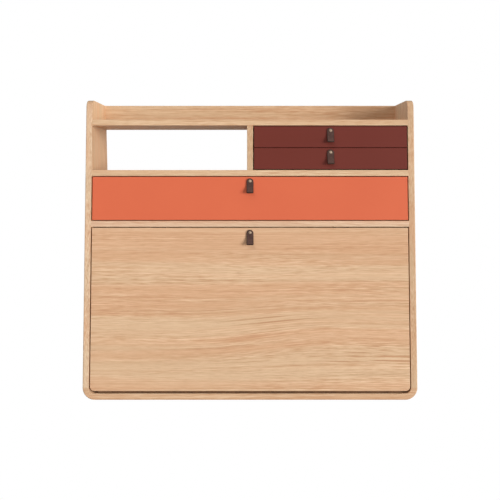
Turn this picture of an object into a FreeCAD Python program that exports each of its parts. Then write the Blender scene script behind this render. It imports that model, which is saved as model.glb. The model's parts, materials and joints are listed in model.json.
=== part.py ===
import FreeCAD, Part
import math
import os

# Fold-down wall desk: an oak case that hangs on a wall, with a slanted front. A flap on a continuous
# hinge folds down to make the desk top, held level by a slotted stay at each side. Above it are one
# wide drawer, two small drawers, an open niche and a tray. All lengths are in millimetres.
# The wall is the plane y = 0, the front looks along -Y, and z is measured here from the underside of
# the case. The finished pieces are moved so that the centre of the wall-screw pattern is the origin.

from FreeCAD import Vector

os.makedirs("parts", exist_ok=True)

# Case, overall
case_width = 1000.0
case_height = 895.0
depth_at_bottom = 350.0
depth_at_top = 200.0

# Boards and edges of the case
carcass_board = 19.0
shelf_board = 18.0
corner_outer_radius = 36.0
side_top_round = 28.0
front_edge_round = 3.0
fine_edge_round = 1.0
rail_edge_round = 2.0

# Clear heights of the tray and the two drawer bays
tray_height = 60.0
small_bay_height = 135.0
wide_bay_height = 135.0

# Back panel and wall rails
back_panel_board = 8.0
small_back_board = 8.0
wall_rail_board = 18.0
wall_rail_height = 60.0
fixing_from_side = 81.0
fixing_hole_radius = 3.0

# Fronts
reveal = 3.0
level_reveal = 2.4
small_front_gap = 1.5
drawer_front_board = 18.0
flap_board = 19.0

# Drawer boxes and runners
box_side_board = 12.0
box_bottom_board = 6.0
box_side_gap = 1.5
box_rise = 6.0
box_bottom_lift = 6.0
bottom_groove_depth = 5.0
groove_clearance = 0.2
wide_box_drop = 22.0
small_box_drop = 12.0
wide_box_back_gap = 5.0
small_box_back_gap = 4.0
runner_height = 12.0
runner_reach = 7.0
runner_clearance = 0.3
runner_set_back = 14.0
runner_screw_shares = (0.2, 0.8)

# Continuous hinge
hinge_end_gap = 10.0
knuckle_count = 19
knuckle_radius = 3.2
knuckle_gap = 0.3
hinge_clearance = 0.3
hinge_pin_radius = 1.5
hinge_pin_clearance = 0.05
hinge_leaf_board = 1.5
hinge_leaf_width = 14.0
hinge_screw_count = 9
hinge_screw_share = 0.62

# Stays
stay_pivot_share = 0.297
stay_pivot_rise = 13.2
arm_length_share = 0.651
arm_width = 16.0
arm_board = 3.0
arm_closed_lean = math.radians(23.5)
arm_turn_share = 0.255
arm_side_gap = 0.5
track_board = 3.0
track_half_width = 12.0
track_steps = 12
track_screw_turn_shares = (0.12, 0.56, 0.94)
track_screw_offset_share = 0.65
guide_stud_radius = 3.0
guide_clearance = 0.3
guide_end_gap = 0.5
pivot_pin_radius = 3.0
pivot_clearance = 0.05
rivet_head_radius = 5.0
rivet_head_board = 1.5
rivet_head_gap = 0.3
bracket_board = 2.5
bracket_half_length = 20.0
bracket_base_width = 28.0
bracket_ear_radius = 9.0
bracket_screw_shares = (-0.6, 0.6)

# Magnetic catches and strikes
catch_from_side = 201.0
catch_width = 44.0
catch_depth = 22.0
catch_height = 18.0
catch_gap = 0.3
strike_board = 1.5
strike_width = 32.0
strike_height = 10.0
strike_below_top = 4.0

# Leather pulls and studs
tab_width = 21.0
tab_length = 44.5
tab_board = 3.5
tab_flat_length = 13.5
tab_flare = 10.0
tab_below_edge = 5.1
flap_tab_below_edge = 6.6
stud_below_tab_top = 8.5
stud_head_radius = 5.0
stud_head_board = 2.2
stud_rim_board = 0.8
stud_shank_radius = 2.0
stud_shank_in_wood = 12.0
stud_clearance = 0.05

# Screws and dowels
screw_head_radius = 2.8
screw_shank_radius = 1.4
screw_tip_length = 3.0
screw_slot_width = 0.8
screw_slot_depth = 0.7
screw_clearance = 0.05
hinge_screw_length = 12.0
plate_screw_length = 13.0
plate_screw_head_depth = 2.0
runner_screw_length = 14.0
dowel_radius = 4.0
dowel_clearance = 0.05
dowel_end_room = 1.0
dowel_depth_in_face = 12.0
dowel_depth_in_end = 18.0
dowel_depth_in_corner = 9.0
dowel_depth_shares = (0.2, 0.5, 0.8)

# Working lengths that shape nothing: how far cutting shapes overrun, and when two places are the same
overrun = 20.0
same_place = 0.01

# Derived places
half_width = case_width / 2
inner_half_width = half_width - carcass_board
corner_inner_radius = corner_outer_radius - carcass_board
slant_run = depth_at_bottom - depth_at_top
slant = math.atan2(slant_run, case_height)
top_shelf_z = case_height - tray_height - shelf_board
niche_shelf_z = top_shelf_z - small_bay_height - shelf_board
desk_shelf_z = niche_shelf_z - wide_bay_height - shelf_board
divider_half = shelf_board / 2
lower_fixing_z = carcass_board + wall_rail_height / 2
upper_fixing_z = niche_shelf_z - wall_rail_height / 2
fixing_centre_z = (lower_fixing_z + upper_fixing_z) / 2
fixing_x = inner_half_width - fixing_from_side

hinge_gap = 2 * (knuckle_radius + hinge_clearance)
hinge_z = carcass_board + hinge_gap / 2
flap_bottom_z = carcass_board + hinge_gap
flap_top_z = desk_shelf_z - level_reveal
flap_half_width = inner_half_width - reveal
flap_corner_radius = corner_inner_radius - reveal
flap_inner_face = flap_board - knuckle_radius
flap_turn = math.pi / 2 + slant
flap_up = ((flap_top_z - hinge_z) - knuckle_radius * math.sin(slant)) / math.cos(slant)
hinge_half = flap_half_width - flap_corner_radius - hinge_end_gap
hinge_length = 2 * hinge_half

stay_pivot_up = stay_pivot_share * flap_up
stay_pivot_in = flap_inner_face + stay_pivot_rise
arm_length = arm_length_share * flap_up
track_face_x = inner_half_width - track_board
arm_outer_x = track_face_x - arm_side_gap
arm_inner_x = arm_outer_x - arm_board
ear_outer_x = arm_inner_x - arm_side_gap
ear_inner_x = ear_outer_x - bracket_board


def front_y(z, inset=0):
    """Y of the slanted front plane at height z, or of the parallel plane that lies inset behind it."""
    return slant_run * z / case_height - depth_at_bottom + inset / math.cos(slant)


hinge_y = front_y(hinge_z, knuckle_radius)


def box(x0, x1, y0, y1, z0, z1):
    """Box between two opposite corners."""
    return Part.makeBox(x1 - x0, y1 - y0, z1 - z0, Vector(x0, y0, z0))


def bar(start, end, radius):
    """Round bar from one point to another."""
    run = end - start
    return Part.makeCylinder(radius, run.Length, start, run)


def along_x(x0, x1, y, z, radius):
    """Round bar along X."""
    return bar(Vector(x0, y, z), Vector(x1, y, z), radius)


def extruded(edges, direction):
    """Solid from a closed chain of edges and a direction to push it along."""
    return Part.Face(Part.Wire(edges)).extrude(direction)


def lines(points):
    """Straight edges from point to point."""
    return [Part.LineSegment(a, b).toShape() for a, b in zip(points, points[1:])]


def arc(a, b, c):
    """Circular edge from a to c through b."""
    return Part.Arc(a, b, c).toShape()


def corner_arc(centre_x, centre_z, radius, x_side, z_side, from_x_axis):
    """Quarter circle in the XZ plane, starting on its side along X or along Z."""
    half_way = radius * math.sqrt(0.5)
    on_x = Vector(centre_x + x_side * radius, 0, centre_z)
    middle = Vector(centre_x + x_side * half_way, 0, centre_z + z_side * half_way)
    on_z = Vector(centre_x, 0, centre_z + z_side * radius)
    if from_x_axis:
        return arc(on_x, middle, on_z)
    return arc(on_z, middle, on_x)


def behind_front(inset=0):
    """Everything behind the slanted plane that lies inset behind the front."""
    low = -overrun
    high = case_height + overrun
    corners = [
        Vector(-case_width, front_y(low, inset), low),
        Vector(-case_width, overrun, low),
        Vector(-case_width, overrun, high),
        Vector(-case_width, front_y(high, inset), high),
    ]
    return extruded(lines(corners + corners[:1]), Vector(2 * case_width, 0, 0))


def front_slab(inset, board):
    """Slanted slab of the given board, starting inset behind the front plane."""
    return behind_front(inset).cut(behind_front(inset + board))


def on_front(edge):
    """Whether an edge lies in the front plane."""
    return all(abs(v.Y - front_y(v.Z)) < same_place for v in edge.Vertexes)


def runs_along_x(edge):
    """Whether an edge runs from side to side."""
    return abs(edge.Vertexes[0].X - edge.Vertexes[-1].X) > same_place


def on_flap(shape):
    """Place a shape drawn on the hinge axis: X along it, Y into the flap, Z up the flap."""
    placed = shape.copy()
    placed.rotate(Vector(0, 0, 0), Vector(1, 0, 0), -math.degrees(slant))
    placed.translate(Vector(0, hinge_y, hinge_z))
    return placed


def on_face(shape, x, z):
    """Place a shape drawn on the front plane: X across, Y inwards, Z up the slant."""
    placed = shape.copy()
    placed.rotate(Vector(0, 0, 0), Vector(1, 0, 0), -math.degrees(slant))
    placed.translate(Vector(x, front_y(z), z))
    return placed


def mirrored(shape):
    """The same shape on the other side of the case."""
    return shape.mirror(Vector(0, 0, 0), Vector(1, 0, 0))


def save(node, *shapes):
    """Write one node, with the centre of the wall-screw pattern as its origin."""
    solids = [solid for shape in shapes for solid in shape.Solids]
    whole = solids[0] if len(solids) == 1 else Part.makeCompound(solids)
    placed = whole.copy()
    placed.translate(Vector(0, 0, -fixing_centre_z))
    placed.exportStep(f"parts/{node}.step")


# Screws, drawn with the head's face at the origin and the point along -Z

def screw_form(head_depth, length, room):
    """Turned form of a countersunk screw, grown all round by room."""
    shank = screw_shank_radius + room
    profile = [
        Vector(0, 0, 0),
        Vector(screw_head_radius + room, 0, 0),
        Vector(shank, 0, -head_depth),
        Vector(shank, 0, screw_tip_length - length),
        Vector(0, 0, -length - room),
    ]
    face = Part.Face(Part.Wire(lines(profile + profile[:1])))
    return face.revolve(Vector(0, 0, 0), Vector(0, 0, 1), 360)


def screw(head_depth, length):
    """Countersunk screw with a slotted head."""
    slot = box(-screw_head_radius, screw_head_radius, -screw_slot_width / 2, screw_slot_width / 2,
               -screw_slot_depth, screw_slot_depth)
    return screw_form(head_depth, length, 0).cut(slot)


def turned(shape, axis, degrees, place):
    """A shape turned about an axis through the origin and then moved."""
    result = shape.copy()
    result.rotate(Vector(0, 0, 0), axis, degrees)
    result.translate(place)
    return result


def set_screws(head_depth, length, axis, degrees, places):
    """Screws at several places and the holes that they need."""
    one = screw(head_depth, length)
    hole = screw_form(head_depth, length, screw_clearance)
    screws = [turned(one, axis, degrees, place) for place in places]
    holes = [turned(hole, axis, degrees, place) for place in places]
    return screws, holes


x_axis = Vector(1, 0, 0)
y_axis = Vector(0, 1, 0)
z_axis = Vector(0, 0, 1)

# Dowels: each goes from the face of one board into the end of the next

dowels = []
dowel_holes = []


def add_dowel(place, into_end, depth_in_face=dowel_depth_in_face, depth_in_end=dowel_depth_in_end):
    """One dowel through place on the joint, with its hole in both boards."""
    face_end = place - into_end * depth_in_face
    far_end = place + into_end * depth_in_end
    room = into_end * dowel_end_room
    dowels.append(bar(face_end, far_end, dowel_radius))
    dowel_holes.append(bar(face_end - room, far_end + room, dowel_radius + dowel_clearance))


for side in (-1, 1):
    inwards = x_axis * -side
    for shelf_z in (desk_shelf_z, niche_shelf_z, top_shelf_z):
        middle_z = shelf_z + shelf_board / 2
        for share in dowel_depth_shares:
            add_dowel(Vector(side * inner_half_width, share * front_y(middle_z), middle_z), inwards)
    for rail_z in (lower_fixing_z, upper_fixing_z, case_height - tray_height / 2):
        add_dowel(Vector(side * inner_half_width, -wall_rail_board / 2, rail_z), inwards)
    for share in dowel_depth_shares:
        corner_y = share * front_y(0)
        wall_joint = Vector(side * (half_width - carcass_board / 2), corner_y, corner_outer_radius)
        floor_joint = Vector(side * (half_width - corner_outer_radius), corner_y, carcass_board / 2)
        add_dowel(wall_joint, z_axis, dowel_depth_in_corner)
        add_dowel(floor_joint, inwards, dowel_depth_in_corner)
for share in dowel_depth_shares:
    divider_y = share * front_y(top_shelf_z)
    add_dowel(Vector(0, divider_y, niche_shelf_z + shelf_board), z_axis)
    add_dowel(Vector(0, divider_y, top_shelf_z), -z_axis)


def doweled(board):
    """A board with the dowel holes that reach into it."""
    return board.cut(dowel_holes)


# Case shell: sides, rounded lower corners and bottom as one bent outline, then parted

def shell_outline():
    """Outline of the sides and bottom, seen from the front."""
    edges = []
    bend_x = half_width - corner_outer_radius
    bend_z = corner_outer_radius
    edges += lines([Vector(-inner_half_width, 0, case_height), Vector(-half_width, 0, case_height),
                    Vector(-half_width, 0, bend_z)])
    edges.append(corner_arc(-bend_x, bend_z, corner_outer_radius, -1, -1, True))
    edges += lines([Vector(-bend_x, 0, 0), Vector(bend_x, 0, 0)])
    edges.append(corner_arc(bend_x, bend_z, corner_outer_radius, 1, -1, False))
    edges += lines([Vector(half_width, 0, bend_z), Vector(half_width, 0, case_height),
                    Vector(inner_half_width, 0, case_height), Vector(inner_half_width, 0, bend_z)])
    edges.append(corner_arc(bend_x, bend_z, corner_inner_radius, 1, -1, True))
    edges += lines([Vector(bend_x, 0, carcass_board), Vector(-bend_x, 0, carcass_board)])
    edges.append(corner_arc(-bend_x, bend_z, corner_inner_radius, -1, -1, False))
    edges += lines([Vector(-inner_half_width, 0, bend_z), Vector(-inner_half_width, 0, case_height)])
    return edges


def bay_outline(side_x, bottom_z, radius, top_z):
    """Closed outline with square top corners and rounded lower corners."""
    bend_x = side_x - radius
    bend_z = bottom_z + radius
    edges = lines([Vector(-side_x, 0, top_z), Vector(-side_x, 0, bend_z)])
    edges.append(corner_arc(-bend_x, bend_z, radius, -1, -1, True))
    edges += lines([Vector(-bend_x, 0, bottom_z), Vector(bend_x, 0, bottom_z)])
    edges.append(corner_arc(bend_x, bend_z, radius, 1, -1, False))
    edges += lines([Vector(side_x, 0, bend_z), Vector(side_x, 0, top_z), Vector(-side_x, 0, top_z)])
    return edges


def on_top_front(edge):
    """Whether an edge of the shell is the front end of a side's top."""
    return on_front(edge) and runs_along_x(edge) and edge.CenterOfMass.z > case_height - same_place


def on_outer_front(edge):
    """Whether an edge of the shell is on its outer front rim."""
    middle = edge.CenterOfMass
    outside = abs(middle.x) > inner_half_width + carcass_board / 2 or middle.z < carcass_board / 2
    return on_front(edge) and outside


full_depth = Vector(0, -depth_at_bottom - overrun, 0)
shell = extruded(shell_outline(), full_depth).common(behind_front())
shell = shell.makeFillet(side_top_round, [edge for edge in shell.Edges if on_top_front(edge)])
shell = shell.makeFillet(front_edge_round, [edge for edge in shell.Edges if on_outer_front(edge)])
cavity = extruded(bay_outline(inner_half_width, carcass_board, corner_inner_radius, case_height), full_depth)

side_x0 = half_width - corner_outer_radius
shell_x1 = half_width + overrun
shell_y0 = -depth_at_bottom - overrun
shell_z1 = case_height + overrun
right_side = shell.common(box(side_x0, shell_x1, shell_y0, overrun, corner_outer_radius, shell_z1))
right_corner = shell.common(box(side_x0, shell_x1, shell_y0, overrun, -overrun, corner_outer_radius))
bottom = shell.common(box(-side_x0, side_x0, shell_y0, overrun, -overrun, corner_outer_radius))
left_side = doweled(mirrored(right_side))
left_corner = doweled(mirrored(right_corner))
right_side = doweled(right_side)
right_corner = doweled(right_corner)
bottom = doweled(bottom)


# Shelves, divider, back rail, back panel and wall rails

def shelf(z, back_y=0):
    """Shelf between the sides, its front edge eased and flush with the slanted front."""
    board = box(-inner_half_width, inner_half_width, shell_y0, back_y, z, z + shelf_board)
    board = board.common(behind_front())
    eased = [edge for edge in board.Edges if on_front(edge) and runs_along_x(edge)]
    return doweled(board.makeFillet(fine_edge_round, eased))


top_shelf = shelf(top_shelf_z)
niche_shelf = shelf(niche_shelf_z)
back_panel_y0 = -wall_rail_board - back_panel_board
desk_shelf = shelf(desk_shelf_z, back_panel_y0)

divider_z0 = niche_shelf_z + shelf_board
divider = box(-divider_half, divider_half, shell_y0, 0, divider_z0, top_shelf_z).common(behind_front())
divider = divider.makeFillet(
    fine_edge_round, [edge for edge in divider.Edges if on_front(edge) and not runs_along_x(edge)])
divider = doweled(divider)

back_rail = box(-inner_half_width, inner_half_width, -wall_rail_board, 0,
                top_shelf_z + shelf_board, case_height)
back_rail_rim = [edge for edge in back_rail.Edges
                 if runs_along_x(edge) and edge.CenterOfMass.z > case_height - same_place]
back_rail = doweled(back_rail.makeFillet(rail_edge_round, back_rail_rim))

back_panel = box(-inner_half_width, inner_half_width, back_panel_y0, -wall_rail_board,
                 carcass_board, niche_shelf_z).common(cavity)
small_bay_back = box(divider_half, inner_half_width, -small_back_board, 0, divider_z0, top_shelf_z)


def wall_rail(z):
    """Rail against the wall, centred on a height."""
    half = wall_rail_height / 2
    rail = box(-inner_half_width, inner_half_width, -wall_rail_board, 0, z - half, z + half)
    return doweled(rail.common(cavity))


fixing_holes = [
    bar(Vector(x, -depth_at_top, z), Vector(x, overrun, z), fixing_hole_radius)
    for x in (-fixing_x, fixing_x) for z in (lower_fixing_z, upper_fixing_z)
]
lower_wall_rail = wall_rail(lower_fixing_z).cut(fixing_holes)
upper_wall_rail = wall_rail(upper_fixing_z).cut(fixing_holes)
back_panel = back_panel.cut(fixing_holes)


# Continuous hinge along the foot of the flap

knuckle_pitch = hinge_length / knuckle_count


def hinge_leaf(plate_z, own_turn):
    """One leaf: a plate and every second knuckle, relieved where the other leaf's knuckles are."""
    plate = box(-hinge_half, hinge_half, hinge_y, hinge_y + hinge_leaf_width,
                plate_z, plate_z + hinge_leaf_board)
    own = []
    reliefs = []
    for i in range(knuckle_count):
        x0 = i * knuckle_pitch - hinge_half
        x1 = x0 + knuckle_pitch
        if i % 2 == own_turn:
            own.append(along_x(x0 + knuckle_gap / 2, x1 - knuckle_gap / 2, hinge_y, hinge_z, knuckle_radius))
        else:
            reliefs.append(along_x(x0, x1, hinge_y, hinge_z, knuckle_radius + hinge_clearance))
    bore = along_x(-half_width, half_width, hinge_y, hinge_z, hinge_pin_radius + hinge_pin_clearance)
    return plate.cut(reliefs).multiFuse(own).cut(bore)


hinge_pin = along_x(-hinge_half, hinge_half, hinge_y, hinge_z, hinge_pin_radius)
screw_y = hinge_y + hinge_screw_share * hinge_leaf_width
screw_pitch = hinge_length / hinge_screw_count
screw_xs = [(i + 0.5) * screw_pitch - hinge_half for i in range(hinge_screw_count)]
case_leaf_top = carcass_board + hinge_leaf_board
flap_leaf_low = flap_bottom_z - hinge_leaf_board
hinge_case_screws, case_leaf_holes = set_screws(
    hinge_leaf_board, hinge_screw_length, x_axis, 0, [Vector(x, screw_y, case_leaf_top) for x in screw_xs])
hinge_flap_screws, flap_leaf_holes = set_screws(
    hinge_leaf_board, hinge_screw_length, x_axis, 180, [Vector(x, screw_y, flap_leaf_low) for x in screw_xs])
hinge_case_leaf = hinge_leaf(carcass_board, 0).cut(case_leaf_holes)
hinge_flap_leaf = hinge_leaf(flap_leaf_low, 1).cut(flap_leaf_holes)
bottom = bottom.cut(case_leaf_holes)


# Leather pulls: a strap that lies flat under its stud and curls away from the front below it

def pull_tab():
    """Strap drawn on the front plane, with the middle of its rounded top end at the origin."""
    drop = tab_length - tab_flat_length
    curl = (drop * drop + tab_flare * tab_flare) / (2 * tab_flare)
    half_turn = math.asin(drop / curl) / 2
    half_tab = tab_width / 2

    def curl_point(radius, turn):
        """Point of the curled part, a given turn below its start."""
        return Vector(-half_tab, radius * math.cos(turn) - curl, -tab_flat_length - radius * math.sin(turn))

    outer = curl - tab_board
    top_in = Vector(-half_tab, 0, 0)
    top_out = Vector(-half_tab, -tab_board, 0)
    edges = lines([top_out, top_in, curl_point(curl, 0)])
    edges.append(arc(curl_point(curl, 0), curl_point(curl, half_turn), curl_point(curl, 2 * half_turn)))
    edges += lines([curl_point(curl, 2 * half_turn), curl_point(outer, 2 * half_turn)])
    edges.append(arc(curl_point(outer, 2 * half_turn), curl_point(outer, half_turn), curl_point(outer, 0)))
    edges += lines([curl_point(outer, 0), top_out])
    strap = extruded(edges, Vector(tab_width, 0, 0))
    outline = [arc(Vector(-half_tab, 0, -half_tab), Vector(0, 0, 0), Vector(half_tab, 0, -half_tab))]
    outline += lines([
        Vector(half_tab, 0, -half_tab),
        Vector(half_tab, 0, -2 * tab_length),
        Vector(-half_tab, 0, -2 * tab_length),
        Vector(-half_tab, 0, -half_tab),
    ])
    face_of_tab = extruded(outline, Vector(0, -2 * tab_length, 0))
    face_of_tab.translate(Vector(0, overrun, 0))
    return strap.common(face_of_tab)


def pull_stud():
    """Domed stud that goes through the strap into the wood, drawn like the strap."""
    rim_y = -tab_board - stud_rim_board
    top_y = -tab_board - stud_head_board
    rise = stud_head_board - stud_rim_board
    dome = (stud_head_radius * stud_head_radius + rise * rise) / (2 * rise)
    half_turn = math.asin(stud_head_radius / dome) / 2
    edges = lines([
        Vector(0, top_y, 0),
        Vector(0, stud_shank_in_wood, 0),
        Vector(stud_shank_radius, stud_shank_in_wood, 0),
        Vector(stud_shank_radius, -tab_board, 0),
        Vector(stud_head_radius, -tab_board, 0),
        Vector(stud_head_radius, rim_y, 0),
    ])
    dome_middle = Vector(dome * math.sin(half_turn), top_y + dome * (1 - math.cos(half_turn)), 0)
    edges.append(arc(Vector(stud_head_radius, rim_y, 0), dome_middle, Vector(0, top_y, 0)))
    stud = Part.Face(Part.Wire(edges)).revolve(Vector(0, 0, 0), y_axis, 360)
    stud.translate(Vector(0, 0, -stud_below_tab_top))
    return stud


def add_pull(prefix, front, x, tab_z):
    """Save a strap and its stud, the strap's top end at a height, and return the front with its hole."""
    stud_place = Vector(0, 0, -stud_below_tab_top)
    hole = bar(stud_place - y_axis * overrun, stud_place + y_axis * (stud_shank_in_wood + stud_clearance),
               stud_shank_radius + stud_clearance)
    hole = on_face(hole, x, tab_z)
    save(f"{prefix}_pull_tab", on_face(pull_tab(), x, tab_z).cut(hole))
    save(f"{prefix}_pull_stud", on_face(pull_stud(), x, tab_z))
    return front.cut(hole)


def eased_front(front):
    """A front with the edges of its face eased."""
    return front.makeFillet(fine_edge_round, [edge for edge in front.Edges if on_front(edge)])


# Flap, with a top edge square to its face so that it swings clear of the desk shelf

flap_outline = bay_outline(flap_half_width, flap_bottom_z, flap_corner_radius, case_height)
below_top = on_flap(box(-half_width, half_width, -depth_at_bottom, depth_at_bottom, -overrun, flap_up))
flap = extruded(flap_outline, full_depth).common(front_slab(0, flap_board)).common(below_top)
flap = add_pull("flap", eased_front(flap).cut(flap_leaf_holes), 0, flap_top_z - flap_tab_below_edge)


# Stays: the arm turns back by a share of the flap's own turn, and the slot follows its guide stud

pivot_reach = math.hypot(stay_pivot_up, stay_pivot_in)
pivot_angle = slant + math.atan2(stay_pivot_in, stay_pivot_up)


def guide_place(turn):
    """Place of the guide stud as (y, z) when the flap has turned."""
    lean = arm_closed_lean + arm_turn_share * turn
    y = hinge_y + pivot_reach * math.sin(pivot_angle - turn) + arm_length * math.sin(lean)
    z = hinge_z + pivot_reach * math.cos(pivot_angle - turn) + arm_length * math.cos(lean)
    return y, z


def guide_heading(turn):
    """Unit direction as (y, z) in which the guide stud moves when the flap has turned."""
    lean = arm_closed_lean + arm_turn_share * turn
    swing = arm_length * arm_turn_share
    dy = swing * math.cos(lean) - pivot_reach * math.cos(pivot_angle - turn)
    dz = pivot_reach * math.sin(pivot_angle - turn) - swing * math.sin(lean)
    size = math.hypot(dy, dz)
    return dy / size, dz / size


def beside_guide(turn, ahead, aside):
    """Point near the guide stud's place: ahead along its way, and aside from it."""
    y, z = guide_place(turn)
    dy, dz = guide_heading(turn)
    return Vector(track_face_x, y + ahead * dy - aside * dz, z + ahead * dz + aside * dy)


def guide_band(half):
    """Plate of the track's board along the whole way of the guide stud, with round ends."""
    turns = [flap_turn * i / track_steps for i in range(track_steps + 1)]

    def edge_at(aside, order):
        """Smooth edge beside the way."""
        curve = Part.BSplineCurve()
        curve.interpolate([beside_guide(turn, 0, aside) for turn in order])
        return curve.toShape()

    def round_end(turn, ahead, aside):
        """Half circle round one end of the way."""
        return arc(beside_guide(turn, 0, aside), beside_guide(turn, ahead, 0), beside_guide(turn, 0, -aside))

    edges = [
        edge_at(half, turns),
        round_end(flap_turn, half, half),
        edge_at(-half, turns[::-1]),
        round_end(0, -half, -half),
    ]
    return extruded(edges, Vector(track_board, 0, 0))


track_screw_places = [
    beside_guide(share * flap_turn, 0, -track_screw_offset_share * track_half_width)
    for share in track_screw_turn_shares
]
track_screws, track_holes = set_screws(
    plate_screw_head_depth, plate_screw_length, y_axis, -90, track_screw_places)
guide_slot = guide_band(guide_stud_radius + guide_clearance)
right_track = guide_band(track_half_width).cut(guide_slot).cut(track_holes)
right_side = right_side.cut(track_holes)
left_side = left_side.cut([mirrored(hole) for hole in track_holes])

pivot_y = hinge_y + pivot_reach * math.sin(pivot_angle)
pivot_z = hinge_z + pivot_reach * math.cos(pivot_angle)
guide_y, guide_z = guide_place(0)


def arm():
    """Flat arm with round ends, drawn upright and leant into its closed place."""
    half = arm_width / 2
    blade = box(arm_inner_x, arm_outer_x, -half, half, 0, arm_length)
    ends = [along_x(arm_inner_x, arm_outer_x, 0, z, half) for z in (0, arm_length)]
    blade = turned(blade.multiFuse(ends).removeSplitter(), x_axis, -math.degrees(arm_closed_lean),
                   Vector(0, pivot_y, pivot_z))
    holes = [
        along_x(ear_inner_x, half_width, pivot_y, pivot_z, pivot_pin_radius + pivot_clearance),
        along_x(ear_inner_x, half_width, guide_y, guide_z, guide_stud_radius + pivot_clearance),
    ]
    return blade.cut(holes)


def riveted(y, z, inner_x, outer_x, radius):
    """Round pin with a flat head on its inner end."""
    head = along_x(inner_x - rivet_head_board, inner_x, y, z, rivet_head_radius)
    return head.fuse(along_x(inner_x, outer_x, y, z, radius)).removeSplitter()


def pivot_pin():
    """Pin through the ear and the arm, with a head at both ends."""
    far_x = arm_outer_x + rivet_head_gap
    far_head = along_x(far_x, far_x + rivet_head_board, pivot_y, pivot_z, rivet_head_radius)
    return riveted(pivot_y, pivot_z, ear_inner_x, far_x, pivot_pin_radius).fuse(far_head).removeSplitter()


def bracket():
    """Angle bracket on the inner face of the flap, with the ear that carries the arm."""
    foot_y = flap_inner_face + bracket_board
    base = box(ear_outer_x - bracket_base_width, ear_outer_x, flap_inner_face, foot_y,
               stay_pivot_up - bracket_half_length, stay_pivot_up + bracket_half_length)
    neck = box(ear_inner_x, ear_outer_x, flap_inner_face, stay_pivot_in,
               stay_pivot_up - bracket_ear_radius, stay_pivot_up + bracket_ear_radius)
    eye = along_x(ear_inner_x, ear_outer_x, stay_pivot_in, stay_pivot_up, bracket_ear_radius)
    hole = along_x(0, half_width, stay_pivot_in, stay_pivot_up, pivot_pin_radius + pivot_clearance)
    return on_flap(base.multiFuse([neck, eye]).removeSplitter().cut(hole))


bracket_screw_x = ear_outer_x - bracket_base_width / 2
bracket_screw_places = [
    Vector(bracket_screw_x, flap_inner_face + bracket_board, stay_pivot_up + share * bracket_half_length)
    for share in bracket_screw_shares
]
bracket_screws, bracket_holes = set_screws(
    plate_screw_head_depth, plate_screw_length, x_axis, 90, bracket_screw_places)
bracket_screws = [on_flap(one) for one in bracket_screws]
bracket_holes = [on_flap(one) for one in bracket_holes]
right_bracket = bracket().cut(bracket_holes)
flap = flap.cut(bracket_holes + [mirrored(hole) for hole in bracket_holes])
right_arm = arm()
right_stud = riveted(guide_y, guide_z, arm_inner_x, inner_half_width - guide_end_gap, guide_stud_radius)
right_pin = pivot_pin()


# Magnetic catches under the desk shelf and their strikes on the flap

catch_x = inner_half_width - catch_from_side


def catch_pair(width, y0, y1, z0, z1):
    """Two boxes, one at each side of the middle."""
    return [box(x - width / 2, x + width / 2, y0, y1, z0, z1) for x in (-catch_x, catch_x)]


strike_z1 = flap_top_z - flap_board * math.sin(slant) - strike_below_top
strike_z0 = strike_z1 - strike_height
strike_slab = front_slab(flap_board, strike_board)
strikes = [one.common(strike_slab)
           for one in catch_pair(strike_width, shell_y0, 0, strike_z0, strike_z1)]
catch_z0 = desk_shelf_z - catch_height
catch_inset = flap_board + strike_board + catch_gap
catch_y1 = front_y(catch_z0, catch_inset) + catch_depth
catches = [one.common(behind_front(catch_inset))
           for one in catch_pair(catch_width, shell_y0, catch_y1, catch_z0, desk_shelf_z)]


# Drawers and their runners

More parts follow.
